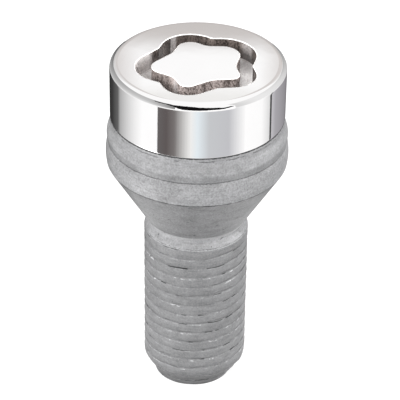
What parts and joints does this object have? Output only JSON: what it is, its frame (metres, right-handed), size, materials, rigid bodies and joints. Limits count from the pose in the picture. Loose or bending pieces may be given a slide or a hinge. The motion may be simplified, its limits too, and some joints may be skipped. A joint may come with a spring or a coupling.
{
  "type": "locking wheel bolt",
  "caption": "Conical-seat wheel bolt with a plain round head and a closed wavy key groove in its top, so that only its matching key can turn it.",
  "frame": {"origin": "centre of the flat face at the bolt's tip", "axes": "+Z along the bolt's axis from its tip to its head, -Y towards the picture's viewer"},
  "size_m": [0.024, 0.024, 0.0485],
  "materials": {
    "steel": "dull grey zinc-flake coat below the collar's top edge, bright chrome plate on the head"
  },
  "bodies": {
    "root": {"locking_wheel_bolt": "steel"}
  },
  "joints": []
}
